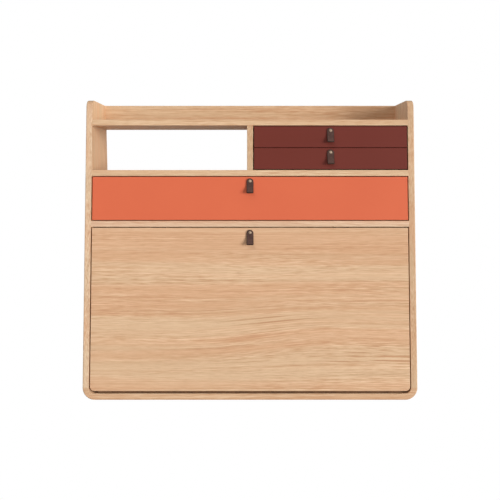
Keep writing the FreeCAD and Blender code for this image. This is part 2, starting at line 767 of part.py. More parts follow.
def drawer(prefix, bay_x0, bay_x1, low_z, high_z, box_drop, back_y):
    """Save one drawer, and return its two runners with their screws and screw holes."""
    front = box(bay_x0 + reveal, bay_x1 - reveal, shell_y0, 0, low_z, high_z)
    front = eased_front(front.common(front_slab(0, drawer_front_board)))
    save(f"{prefix}_front", add_pull(prefix, front, (bay_x0 + bay_x1) / 2, high_z - tab_below_edge))

    box_z0 = low_z + box_rise
    box_z1 = high_z - box_drop
    runner_z0 = (box_z0 + box_z1 - runner_height) / 2
    runner_z1 = runner_z0 + runner_height
    runner_y0 = front_y(box_z1, drawer_front_board) + runner_set_back
    left_x = bay_x0 + box_side_gap
    right_x = bay_x1 - box_side_gap
    left_in = left_x + box_side_board
    right_in = right_x - box_side_board
    behind = behind_front(drawer_front_board)
    bottom_z0 = box_z0 + box_bottom_lift
    bottom_z1 = bottom_z0 + box_bottom_board
    floor_in = bottom_groove_depth + groove_clearance
    runner_in = runner_reach + runner_clearance

    def groove(x0, x1, y0, z0, z1, room):
        """Groove that runs out at the back of the drawer."""
        return box(x0, x1, y0 - room, overrun, z0 - room, z1 + room)

    cuts = [
        groove(left_in - floor_in, right_in + floor_in, shell_y0, bottom_z0, bottom_z1, 0),
        groove(bay_x0 - overrun, bay_x0 + runner_in, runner_y0, runner_z0, runner_z1, runner_clearance),
        groove(bay_x1 - runner_in, bay_x1 + overrun, runner_y0, runner_z0, runner_z1, runner_clearance),
    ]
    left = box(left_x, left_in, shell_y0, back_y, box_z0, box_z1).common(behind).cut(cuts)
    right = box(right_in, right_x, shell_y0, back_y, box_z0, box_z1).common(behind).cut(cuts)
    floor = box(left_in - bottom_groove_depth, right_in + bottom_groove_depth, shell_y0, back_y,
                bottom_z0, bottom_z1).common(behind)
    save(f"{prefix}_left_side", left)
    save(f"{prefix}_right_side", right)
    save(f"{prefix}_bottom", floor)
    save(f"{prefix}_back", box(left_in, right_in, back_y - box_side_board, back_y, bottom_z1, box_z1))

    screw_z = (runner_z0 + runner_z1) / 2
    screw_ys = [runner_y0 + share * (back_y - runner_y0) for share in runner_screw_shares]
    left_screws, left_holes = set_screws(
        plate_screw_head_depth, runner_screw_length, y_axis, 90,
        [Vector(bay_x0 + runner_reach, y, screw_z) for y in screw_ys])
    right_screws, right_holes = set_screws(
        plate_screw_head_depth, runner_screw_length, y_axis, -90,
        [Vector(bay_x1 - runner_reach, y, screw_z) for y in screw_ys])
    holes = left_holes + right_holes
    runners = [
        box(bay_x0, bay_x0 + runner_reach, runner_y0, back_y, runner_z0, runner_z1).cut(left_holes),
        box(bay_x1 - runner_reach, bay_x1, runner_y0, back_y, runner_z0, runner_z1).cut(right_holes),
    ]
    return runners, left_screws + right_screws, holes


wide_low_z = desk_shelf_z + shelf_board + level_reveal
wide_high_z = niche_shelf_z - level_reveal
wide_runners, runner_screws, runner_holes = drawer(
    "wide_drawer", -inner_half_width, inner_half_width, wide_low_z, wide_high_z, wide_box_drop,
    back_panel_y0 - wide_box_back_gap)

small_front_height = (small_bay_height - 2 * level_reveal - small_front_gap) / 2
small_runners = []
for i, name in enumerate(("lower_small_drawer", "upper_small_drawer")):
    small_low_z = divider_z0 + level_reveal + i * (small_front_height + small_front_gap)
    runners, screws, holes = drawer(
        name, divider_half, inner_half_width, small_low_z, small_low_z + small_front_height, small_box_drop,
        -small_back_board - small_box_back_gap)
    small_runners += runners
    runner_screws += screws
    runner_holes += holes

right_side = right_side.cut(runner_holes)
left_side = left_side.cut(runner_holes)
divider = divider.cut(runner_holes)


# Case
save("left_side_panel", left_side)
save("right_side_panel", right_side)
save("left_bottom_corner", left_corner)
save("right_bottom_corner", right_corner)
save("bottom_panel", bottom)
save("top_shelf", top_shelf)
save("niche_shelf", niche_shelf)
save("desk_shelf", desk_shelf)
save("centre_divider", divider)
save("back_rail", back_rail)
save("back_panel", back_panel)
save("small_bay_back", small_bay_back)
save("upper_wall_rail", upper_wall_rail)
save("lower_wall_rail", lower_wall_rail)
save("case_dowels", *dowels)
save("wide_drawer_runners", *wide_runners)
save("small_drawer_runners", *small_runners)
save("runner_screws", *runner_screws)
save("hinge_case_leaf", hinge_case_leaf)
save("hinge_pin", hinge_pin)
save("hinge_case_screws", *hinge_case_screws)
save("right_stay_track", right_track)
save("left_stay_track", mirrored(right_track))
save("stay_track_screws", *track_screws, *[mirrored(one) for one in track_screws])
save("magnet_catches", *catches)

# Flap
save("flap_panel", flap)
save("hinge_flap_leaf", hinge_flap_leaf)
save("hinge_flap_screws", *hinge_flap_screws)
save("right_stay_bracket", right_bracket)
save("left_stay_bracket", mirrored(right_bracket))
save("stay_bracket_screws", *bracket_screws, *[mirrored(one) for one in bracket_screws])
save("stay_pivot_pins", right_pin, mirrored(right_pin))
save("strike_plates", *strikes)

# Stay arms
save("right_stay_arm", right_arm)
save("left_stay_arm", mirrored(right_arm))
save("right_guide_stud", right_stud)
save("left_guide_stud", mirrored(right_stud))

# Places that the joints and the wall screws need, from the finished origin
print("fixing centre above the underside", fixing_centre_z)
print("fixing spacing", 2 * fixing_x, upper_fixing_z - lower_fixing_z)
print("hinge axis y z", hinge_y, hinge_z - fixing_centre_z)
print("stay pivot y z", pivot_y, pivot_z - fixing_centre_z)
print("flap turn in degrees", math.degrees(flap_turn), "arm ratio", -1 - arm_turn_share)
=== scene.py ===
"""Looks of the fold-down wall desk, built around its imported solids.

The oak case, the flap, the drawers, the hinge and the stays are the solids themselves with procedural
finishes. The leather pulls and the countersunk screws are modelled here and stand for their solids.
All lengths are in metres, in the frame of the solids: +X right, +Y into the wall, +Z up.
"""

from __future__ import annotations

import json
import logging
import math
from dataclasses import dataclass
from enum import Enum
from functools import cached_property
from typing import Any, Iterable, Sequence

import bmesh
import bpy
from mathutils import Euler, Matrix, Vector

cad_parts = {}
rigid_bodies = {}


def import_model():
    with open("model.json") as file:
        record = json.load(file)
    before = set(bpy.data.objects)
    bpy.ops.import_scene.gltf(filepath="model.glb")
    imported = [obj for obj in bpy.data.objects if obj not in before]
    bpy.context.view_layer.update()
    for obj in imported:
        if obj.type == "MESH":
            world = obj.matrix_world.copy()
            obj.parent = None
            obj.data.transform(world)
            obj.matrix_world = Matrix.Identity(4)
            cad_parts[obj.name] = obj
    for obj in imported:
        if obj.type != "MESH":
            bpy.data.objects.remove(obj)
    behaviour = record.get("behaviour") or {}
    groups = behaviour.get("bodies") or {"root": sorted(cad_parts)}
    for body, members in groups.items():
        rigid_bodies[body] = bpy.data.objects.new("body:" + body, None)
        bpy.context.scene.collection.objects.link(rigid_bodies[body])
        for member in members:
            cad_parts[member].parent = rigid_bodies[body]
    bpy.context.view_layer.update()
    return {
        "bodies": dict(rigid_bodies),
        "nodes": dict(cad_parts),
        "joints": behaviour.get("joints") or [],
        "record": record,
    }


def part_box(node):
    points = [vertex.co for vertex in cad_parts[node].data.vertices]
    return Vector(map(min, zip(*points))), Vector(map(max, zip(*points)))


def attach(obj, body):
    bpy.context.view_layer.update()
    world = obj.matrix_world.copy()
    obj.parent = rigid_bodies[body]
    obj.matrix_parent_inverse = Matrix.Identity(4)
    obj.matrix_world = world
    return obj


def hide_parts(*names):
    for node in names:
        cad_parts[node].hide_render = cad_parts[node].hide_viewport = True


LOG = logging.getLogger("wall_desk")
MM = 0.001
# Span that most values of a noise lie in
USUAL = (0.3, 0.7)
# Heights of the faces of the two upper shelves, between which the painted light and shade on the insides
# change
NICHE_UNDER = 322.5 * MM
NICHE_FLOOR = 340.5 * MM
TOP_UNDER = 475.5 * MM
TRAY_FLOOR = 493.5 * MM
Frame = dict[str, Any]
Finishes = dict[str, bpy.types.Material]
Socket = bpy.types.NodeSocket
Span = tuple[float, float]
Triple = tuple[float, float, float]
Rgb = tuple[float, float, float]


def linear(colour: Rgb) -> tuple[float, float, float, float]:
    """Turn a colour as it is seen on a screen into the shader's linear colour.

    Args:
        colour: Red, green and blue from 0 to 255.

    Returns:
        Linear red, green, blue and full opacity.
    """

    def channel(value: float) -> float:
        """Linear value of one channel."""
        share = value / 255.0
        return share / 12.92 if share <= 0.04045 else ((share + 0.055) / 1.055) ** 2.4

    return (*map(channel, colour), 1.0)


class Nodes:
    """Short calls that build one node tree."""

    def __init__(self, tree: bpy.types.NodeTree) -> None:
        """Take up a tree."""
        self.tree = tree

    def add(self, kind: str, feeds: dict[Any, Any] | None = None, **settings: Any) -> bpy.types.Node:
        """Add a node.

        Args:
            kind: Blender's name for the node.
            feeds: Values or sockets for the node's inputs, by name or number.
            settings: Settings of the node itself.

        Returns:
            The new node.
        """
        node = self.tree.nodes.new(kind)
        for key, value in settings.items():
            setattr(node, key, value)
        for key, value in (feeds or {}).items():
            self.feed(node.inputs[key], value)
        return node

    def feed(self, socket: Socket, value: Any) -> None:
        """Link a socket to another one, or set its own value.

        Args:
            socket: The input socket.
            value: Another socket, or a plain value.
        """
        if isinstance(value, Socket):
            self.tree.links.new(value, socket)
        else:
            socket.default_value = value


class Shader(Nodes):
    """Short calls that build the nodes of a material or of the world."""

    def __init__(self, owner: bpy.types.Material | bpy.types.World) -> None:
        """Take up the owner's nodes.

        Args:
            owner: The material or the world.
        """
        owner.use_nodes = True
        super().__init__(owner.node_tree)
        self.owner = owner
        self.main = self.tree.nodes.get("Principled BSDF") or self.tree.nodes["Background"]

    @cached_property
    def place(self) -> Socket:
        """Coordinates in the frame of the solids."""
        return self.add("ShaderNodeTexCoord").outputs["Object"]

    def seen(self) -> Socket:
        """One for what the camera sees, straight, in a mirror or through glass.

        Returns:
            The socket that says so.
        """
        path = self.add("ShaderNodeLightPath").outputs
        either = self.math("MAXIMUM", path["Is Camera Ray"], path["Is Glossy Ray"])
        return self.math("MAXIMUM", either, path["Is Transmission Ray"])

    def math(self, operation: str, *values: Any) -> Socket:
        """Result of a math node on numbers or sockets."""
        return self.add("ShaderNodeMath", dict(enumerate(values)), operation=operation).outputs[0]

    def axes(self, vector: Socket) -> Any:
        """Parts of a vector, by the names of the axes."""
        return self.add("ShaderNodeSeparateXYZ", {0: vector}).outputs

    def summed(self, layers: Sequence[tuple[Socket, float]], middle: float) -> Socket:
        """Weighted sum of layers of noise.

        Args:
            layers: Each layer, around one half, with its weight.
            middle: Result where every layer is one half.

        Returns:
            The sum.
        """
        total = middle - sum(weight for _, weight in layers) / 2
        for layer, weight in layers:
            total = self.math("MULTIPLY_ADD", layer, weight, total)
        return total

    def mapped(self, vector: Socket, scale: Triple = (1, 1, 1), turn: Triple = (0, 0, 0),
               shift: Triple = (0, 0, 0)) -> Socket:
        """Coordinates that are scaled, turned by angles in radians, and then shifted."""
        feeds = {"Vector": vector, "Scale": scale, "Rotation": turn, "Location": shift}
        return self.add("ShaderNodeMapping", feeds).outputs[0]

    def noise(self, vector: Socket, scale: float = 1.0, detail: float = 2.0,
              roughness: float = 0.5) -> Socket:
        """Noise around one half, with a scale in cells per metre and octaves of finer detail."""
        feeds = {"Vector": vector, "Scale": scale, "Detail": detail, "Roughness": roughness}
        return self.add("ShaderNodeTexNoise", feeds).outputs["Fac"]

    def drawn(self, along: Socket, length: float, width: float, detail: float = 1.0, roughness: float = 0.5,
              shift: Triple = (0, 0, 0)) -> Socket:
        """Noise drawn out along the fibres, in cells per metre along and across them, shifted in cells."""
        place = self.mapped(along, (length, width, width), shift=shift)
        return self.noise(place, detail=detail, roughness=roughness)

    def span(self, value: Any, low: float, high: float, out_low: float = 0.0, out_high: float = 1.0,
             smooth: bool = False) -> Socket:
        """Value taken from one span to another and held at its ends.

        Args:
            value: Value to take over.
            low: Start of the span that it is read in.
            high: End of that span.
            out_low: Result at the start.
            out_high: Result at the end.
            smooth: Whether it eases in and out.

        Returns:
            The new value.
        """
        feeds = {"Value": value, "From Min": low, "From Max": high, "To Min": out_low, "To Max": out_high}
        kind = "SMOOTHSTEP" if smooth else "LINEAR"
        return self.add("ShaderNodeMapRange", feeds, interpolation_type=kind).outputs[0]

    def ramp(self, value: Socket, stops: Sequence[tuple[float, Rgb]]) -> Socket:
        """Colour from a ramp.

        Args:
            value: Where the ramp is read.
            stops: Place and colour of each stop.

        Returns:
            The colour.
        """
        node = self.add("ShaderNodeValToRGB", {"Fac": value})
        elements = node.color_ramp.elements
        while len(elements) < len(stops):
            elements.new(0.5)
        for element, (place, colour) in zip(elements, stops):
            element.position = place
            element.color = linear(colour)
        return node.outputs["Color"]

    def mix(self, factor: Any, first: Any, second: Any, blend: str = "MIX") -> Socket:
        """First colour, blended with the second one by a factor from zero to one."""
        # Inputs 6 and 7 and output 2 are the ones for colours
        feeds = {0: factor, 6: first, 7: second}
        return self.add("ShaderNodeMix", feeds, data_type="RGBA", blend_type=blend).outputs[2]

    def facing(self, axis: Sequence[float], low: float, high: float) -> Socket:
        """How far the surface looks along an axis of its piece.

        Args:
            axis: Unit direction, in the piece's own frame.
            low: Cosine to the axis at which the result is zero.
            high: Cosine at which it is one.

        Returns:
            The share, from zero to one.
        """
        normal = self.add("ShaderNodeTexCoord").outputs["Normal"]
        product = self.add("ShaderNodeVectorMath", {0: normal, 1: axis}, operation="DOT_PRODUCT")
        return self.span(product.outputs["Value"], low, high)

    def relief(self, height: Socket, depth: float, strength: float = 1.0) -> None:
        """Give the surface a fine relief of the given depth in metres."""
        feeds = {"Height": height, "Distance": depth, "Strength": strength}
        self.feed(self.main.inputs["Normal"], self.add("ShaderNodeBump", feeds).outputs["Normal"])

    def set(self, **values: Any) -> None:
        """Feed the main shader, with underscores for the spaces in its sockets' names."""
        for key, value in values.items():
            self.feed(self.main.inputs[key.replace("_", " ")], value)

    def coat(self, colour: Any, uneven: Socket, roughness: Span, **values: Any) -> None:
        """Feed the main shader a colour, a roughness that follows a noise, and other values."""
        self.set(Base_Color=colour, Roughness=self.span(uneven, *USUAL, *roughness), **values)


@dataclass(frozen=True)
class Slant:
    """The slanted front: how far it leans back over the height of the case."""

    run: float = 150 * MM
    height: float = 895 * MM
    foot_depth: float = 350 * MM
    foot_height: float = -341.5 * MM

    @property
    def slope(self) -> float:
        """How far the front leans back for each metre of height."""
        return self.run / self.height

    @property
    def angle(self) -> float:
        """Lean of the front from upright, in radians."""
        return math.atan2(self.run, self.height)

    def placed(self, origin: Vector) -> Matrix:
        """Matrix from a piece drawn at the origin, on an upright front, to its place on the slant."""
        return Matrix.Translation(origin) @ Matrix.Rotation(-self.angle, 4, "X")

    def behind(self, shade: Shader, place: Any) -> Socket:
        """How far a point lies behind the front, in metres.

        Args:
            shade: Shader that the nodes go into.
            place: The point's coordinates, by the names of the axes.

        Returns:
            The distance along Y.
        """
        at_origin = -self.foot_depth - self.foot_height * self.slope
        front = shade.math("MULTIPLY_ADD", place["Z"], self.slope, at_origin)
        return shade.math("SUBTRACT", place["Y"], front)


class Grain(Enum):
    """Which way the fibres of a board run, as the turn that lays them along X."""

    ALONG_X = (0.0, 0.0, 0.0)
    ALONG_Y = (0.0, 0.0, -math.pi / 2)
    ALONG_Z = (0.0, math.pi / 2, 0.0)


class Look(Enum):
    """Way that a face of a board looks."""

    FRONT = (0.0, -1.0, 0.0)
    RIGHT = (1.0, 0.0, 0.0)
    LEFT = (-1.0, 0.0, 0.0)
    UP = (0.0, 0.0, 1.0)
    DOWN = (0.0, 0.0, -1.0)


@dataclass(frozen=True)
class Tint:
    """Change of tone on the faces of a board that look one way, between two heights in metres; most tints
    are painted light and shade.

    With a reach, it fades out between a third of that distance and all of it behind the front.
    """

    look: Look
    gain: Rgb
    above: float = -1.0
    below: float = 1.0
    reach: float | None = None
    square_on: Span = (0.80, 0.95)

    def over(self, shade: Shader, colour: Socket) -> Socket:
        """Colour with the tint laid over it.

        Args:
            shade: Shader that the nodes go into.
            colour: Colour of the bare veneer.

        Returns:
            The tinted colour.
        """
        place = shade.axes(shade.place)
        share = shade.facing(self.look.value, *self.square_on)
        share = shade.math("MULTIPLY", share, shade.math("GREATER_THAN", place["Z"], self.above))
        share = shade.math("MULTIPLY", share, shade.math("LESS_THAN", place["Z"], self.below))
        if self.reach:
            fade = shade.span(Slant().behind(shade, place), self.reach / 3, self.reach, 1.0, 0.0)
            share = shade.math("MULTIPLY", share, fade)
        return shade.mix(share, colour, (*self.gain, 1.0), "MULTIPLY")


@dataclass(frozen=True)
class Finish:
    """A finish that is laid into one procedural material."""

    name: str

    @cached_property
    def shade(self) -> Shader:
        """The shader of the finish's own material."""
        return Shader(bpy.data.materials.new(self.name))

    def make(self) -> bpy.types.Material:
        """Lay the finish and hand over its material."""
        self.lay()
        return self.shade.owner

    def lay(self) -> None:
        """Lay the finish."""
        raise NotImplementedError


@dataclass(frozen=True)
class OakVeneer(Finish):
    """Oak veneer under clear matt lacquer: bands, streaks, growth lines and pores along the fibres.

    The front is the gain on the faces that look forwards, and the tints change the other faces, mostly with
    painted light and shade.
    A board with a heart, given by its place along and up the board, has fibres that arch over it.
    """

    grain: Grain
    shift: Triple
    front: Rgb
    tints: tuple[Tint, ...] = ()
    heart: Span | None = None
    heart_half: Span = (0.44, 0.17)
    heart_tail: float = 0.7
    heart_rise: float = 0.032
    sway: float = 0.010
    figure: float = 0.38
    broad_share: float = 0.0
    thread_shift: float = 5.0
    pale: Rgb = (238, 203, 167)
    middle: Rgb = (219, 180, 143)
    deep: Rgb = (196, 147, 110)
    ruddy: Rgb = (224, 172, 134)
    straw: Rgb = (214, 184, 148)
    hue_share: float = 0.35
    pore: Rgb = (150, 108, 76)
    pore_share: float = 0.25

    def lay(self) -> None:
        """Lay the veneer."""
        shade = self.shade
        along = shade.mapped(shade.place, turn=self.grain.value, shift=self.shift)
        near = self.near_heart(along)
        along = self.drifted(along, near)
        # Layers of the figure, from broad bands down to fibres and pores
        bands = shade.drawn(along, 0.6, 26, detail=2.0)
        broad = shade.drawn(along, 0.5, 14, shift=(3.0, 3.0, 3.0))
        plies = shade.drawn(along, 1.3, 110, shift=(0.0, 7.0, 7.0))
        streaks = shade.drawn(along, 1.8, 380)
        dashes = shade.drawn(along, 24, 420, detail=2.0, shift=(0.0, 9.0, 9.0))
        fibres = shade.drawn(along, 9, 900, detail=2.0, roughness=0.6)
        patches = shade.drawn(along, 2.2, 22, shift=(6.0, 1.0, 1.0))
        hues = shade.drawn(along, 0.7, 32, shift=(4.0, 0.0, 0.0))
        pores = shade.span(shade.drawn(along, 48, 1500), 0.62, 0.74)
        # Tone from deep to pale, with the growth lines cut into it
        fine = shade.summed(((streaks, 0.65), (dashes, 0.92), (fibres, 0.36)), 0.0)
        fine = shade.math("MULTIPLY", fine, shade.span(patches, 0.36, 0.64, 0.55, 1.40))
        wide = shade.summed(((bands, 0.40), (plies, 0.28), (broad, self.broad_share)), 0.5)
        tone = shade.math("ADD", fine, wide)
        tone = shade.math("MULTIPLY_ADD", self.growth_lines(along, near), -self.figure, tone)
        colour = shade.ramp(tone, ((0.15, self.deep), (0.50, self.middle), (0.85, self.pale)))
        # Hue that leans to ruddy or to straw
        hue = ((hues, 1.0), (bands, -0.45), (broad, -1.8 * self.broad_share), (tone, -0.25))
        hue = shade.summed(hue, 0.5)
        colour = shade.mix(shade.span(hue, 0.48, 0.70, 0.0, self.hue_share), colour, linear(self.ruddy))
        colour = shade.mix(shade.span(hue, 0.30, 0.52, self.hue_share, 0.0), colour, linear(self.straw))
        # Tones of the single faces, which carry painted light and shade, and the pores over them
        for tint in (Tint(Look.FRONT, self.front), *self.tints):
            colour = tint.over(shade, colour)
        colour = shade.mix(shade.math("MULTIPLY", pores, self.pore_share), colour, linear(self.pore))
        shade.coat(colour, streaks, roughness=(0.55, 0.68), Specular_IOR_Level=0.07)
        shade.relief(shade.math("SUBTRACT", fibres, pores), depth=0.12 * MM, strength=0.35)

    def drifted(self, along: Socket, near: Any) -> Socket:
        """Let the fibres sway a little and rise over the heart.

        Args:
            along: Coordinates with straight fibres along X.
            near: How near a point lies to the heart.

        Returns:
            The coordinates with the drift added.
        """
        shade = self.shade
        sway = shade.math("SUBTRACT", shade.drawn(along, 1.6, 3.0), 0.5)
        drift = shade.math("MULTIPLY_ADD", sway, self.sway, shade.math("MULTIPLY", near, -self.heart_rise))
        lean = shade.math("MULTIPLY", drift, Slant().slope)
        drift = shade.add("ShaderNodeCombineXYZ", {"Y": lean, "Z": drift}).outputs[0]
        return shade.add("ShaderNodeVectorMath", {0: along, 1: drift}, operation="ADD").outputs[0]

    def near_heart(self, along: Socket) -> Any:
        """How near a point lies to the heart of the board, where the fibres arch.

        Args:
            along: Coordinates with the fibres along X.

        Returns:
            One at the heart, falling to zero on its left, above and below, or zero without a heart.
        """
        if self.heart is None:
            return 0.0
        shade = self.shade
        place = shade.axes(along)
        middle, height = self.heart
        reach, half = self.heart_half
        rise = shade.span(place["X"], middle - reach, middle, smooth=True)
        fall = shade.span(place["X"], middle, middle + reach, 1.0, self.heart_tail, smooth=True)
        away = shade.math("ABSOLUTE", shade.math("SUBTRACT", place["Z"], height))
        level = shade.span(away, 0.0, half, 1.0, 0.0, smooth=True)
        return shade.math("MULTIPLY", shade.math("MULTIPLY", rise, fall), level)

    def growth_lines(self, along: Socket, near: Any) -> Socket:
        """Thin darker growth lines, darkest half way out from the heart.

        Args:
            along: Coordinates with the fibres along X.
            near: How near a point lies to the heart.

        Returns:
            One on a line, zero away from it.
        """
        shade = self.shade
        threads = shade.drawn(along, 2.4, 230, shift=(2.0, self.thread_shift, self.thread_shift))
        line = shade.span(threads, 0.60, 0.70, smooth=True)
        shoulder = shade.math("MULTIPLY", near, shade.math("SUBTRACT", 1.0, near))
        return shade.math("MULTIPLY", line, shade.math("MULTIPLY_ADD", shoulder, 4.0, 0.15))


@dataclass(frozen=True)
class Lacquer(Finish):
    """Satin coloured lacquer sprayed on board, with a faint orange-peel relief."""

    colour: Rgb
    cloud: Rgb

    def lay(self) -> None:
        """Lay the lacquer."""
        shade = self.shade
        clouds = shade.noise(shade.place, scale=5.0, detail=3.0)
        peel = shade.noise(shade.place, scale=900.0, detail=1.0)
        colour = shade.mix(shade.span(clouds, *USUAL), linear(self.colour), linear(self.cloud))
        shade.coat(colour, peel, roughness=(0.46, 0.56), Specular_IOR_Level=0.2)
        shade.relief(peel, depth=0.05 * MM, strength=0.25)


@dataclass(frozen=True)
class Plywood(Finish):
    """Birch plywood: pale faces with fine fibres, and layers that show on the cut edges."""

    grain: Grain
    layers_across: str
    layer: float = 1.5 * MM
    face_deep: Rgb = (204, 170, 128)
    face_pale: Rgb = (232, 206, 168)
    edge_pale: Rgb = (226, 198, 158)
    edge_deep: Rgb = (170, 126, 84)

    def lay(self) -> None:
        """Lay the plywood."""
        shade = self.shade
        along = shade.mapped(shade.place, turn=self.grain.value)
        streaks = shade.drawn(along, 4, 90, detail=3.0)
        fibres = shade.drawn(along, 20, 700, detail=2.0)
        tone = shade.math("MULTIPLY_ADD", fibres, 0.35, shade.math("MULTIPLY", streaks, 0.65))
        face = shade.ramp(tone, ((0.25, self.face_deep), (0.75, self.face_pale)))
        pairs = shade.math("DIVIDE", shade.axes(shade.place)[self.layers_across], 2 * self.layer)
        dark_layer = shade.span(shade.math("FRACT", pairs), 0.48, 0.52)
        edge = shade.mix(dark_layer, linear(self.edge_pale), linear(self.edge_deep))
        normal = shade.axes(shade.add("ShaderNodeNewGeometry").outputs["Normal"])
        cut_edge = shade.span(shade.math("ABSOLUTE", normal["Z"]), 0.6, 0.7)
        colour = shade.mix(cut_edge, face, edge)
        shade.coat(colour, streaks, roughness=(0.48, 0.6), Specular_IOR_Level=0.3)
        shade.relief(fibres, depth=0.1 * MM, strength=0.3)


@dataclass(frozen=True)
class Beech(Finish):
    """Waxed beech with short darker flecks along the fibres."""

    grain: Grain
    deep: Rgb = (196, 148, 108)
    pale: Rgb = (220, 178, 138)
    fleck: Rgb = (150, 98, 62)
    fleck_share: float = 0.5

    def lay(self) -> None:
        """Lay the beech."""
        shade = self.shade
        along = shade.mapped(shade.place, turn=self.grain.value)
        streaks = shade.drawn(along, 5, 80, detail=3.0)
        flecks = shade.span(shade.drawn(along, 160, 900), 0.6, 0.72)
        face = shade.ramp(streaks, ((0.25, self.deep), (0.75, self.pale)))
        colour = shade.mix(shade.math("MULTIPLY", flecks, self.fleck_share), face, linear(self.fleck))
        shade.coat(colour, streaks, roughness=(0.4, 0.55), Specular_IOR_Level=0.35)
        shade.relief(flecks, depth=0.1 * MM, strength=0.25)


class Mark(Enum):
    """Values that the leather pulls carry on their points for their finish."""

    RIM = "rim"
    PAINTED_FOOT_LIGHT = "painted_foot_light"


@dataclass(frozen=True)
class Leather(Finish):
    """Vegetable-tanned dark leather: fine pebbled grain, burnished rim and a pressed border line, with
    painted light that pales it towards the foot.
    """

    face: Rgb = (66, 40, 32)
    rub_and_light: Rgb = (97, 69, 61)
    rim: Rgb = (50, 28, 17)
    rub_and_light_share: float = 0.5

    def lay(self) -> None:
        """Lay the leather."""
        shade = self.shade
        rim, painted_foot_light = (shade.add("ShaderNodeAttribute", attribute_name=mark.value).outputs["Fac"]
                     for mark in Mark)
        pebbles = shade.add("ShaderNodeTexVoronoi", {"Vector": shade.place, "Scale": 1500.0})
        mottle = shade.noise(shade.place, scale=180.0, detail=3.0)
        # Paler patches at random, and painted light that makes the strap paler towards its curled foot
        rubbed_and_lit = shade.math("MULTIPLY", shade.span(mottle, 0.45, 0.75), self.rub_and_light_share)
        rubbed_and_lit = shade.math("ADD", rubbed_and_lit, shade.span(painted_foot_light, 0.50, 0.95, 0.0, self.rub_and_light_share))
        face = shade.mix(rubbed_and_lit, linear(self.face), linear(self.rub_and_light))
        # Dark burnished rim, which at the foot also stands in as painted shade under the strap
        colour = shade.mix(shade.span(rim, 0.35, 0.75), face, linear(self.rim))
        line = shade.math("MULTIPLY", shade.span(rim, 0.30, 0.42), shade.span(rim, 0.42, 0.55, 1.0, 0.0))
        grain = shade.math("MULTIPLY", pebbles.outputs["Distance"], 0.5)
        shade.coat(colour, mottle, roughness=(0.46, 0.64), Specular_IOR_Level=0.3)
        shade.relief(shade.math("SUBTRACT", grain, line), depth=0.35 * MM, strength=0.6)


@dataclass(frozen=True)
class Metal(Finish):
    """Plated or bronzed metal with a directional brush, slightly uneven polish and, with a rim colour,
    painted shade towards the rim.
    """

    colour: Rgb
    dull: Rgb
    roughness: Span
    metallic: float = 1.0
    # Colour of the painted shade towards the rim of a dome
    rim: Rgb | None = None
    brush: Triple = (40.0, 2600.0, 2600.0)

    def lay(self) -> None:
        """Lay the metal."""
        shade = self.shade
        scratches = shade.noise(shade.mapped(shade.place, self.brush), detail=2.0)
        stains = shade.noise(shade.place, scale=120.0, detail=3.0)
        colour = shade.mix(shade.span(stains, 0.35, 0.7), linear(self.colour), linear(self.dull))
        # Painted shade: a dome darkens towards its rim, where it turns away from the front
        if self.rim:
            front = (0.0, -math.cos(Slant().angle), math.sin(Slant().angle))
            colour = shade.mix(shade.facing(front, 0.86, 0.97), linear(self.rim), colour)
        shade.coat(colour, scratches, self.roughness, Metallic=self.metallic)
        shade.relief(scratches, depth=0.03 * MM, strength=0.2)


@dataclass(frozen=True)
class Moulded(Finish):
    """Moulded plastic with a fine spark-eroded texture."""

    colour: Rgb
    deep: Rgb

    def lay(self) -> None:
        """Lay the plastic."""
        shade = self.shade
        texture = shade.noise(shade.place, scale=1800.0, detail=1.0)
        colour = shade.mix(shade.span(texture, 0.35, 0.65), linear(self.colour), linear(self.deep))
        shade.coat(colour, texture, roughness=(0.45, 0.6))
        shade.relief(texture, depth=0.05 * MM, strength=0.4)


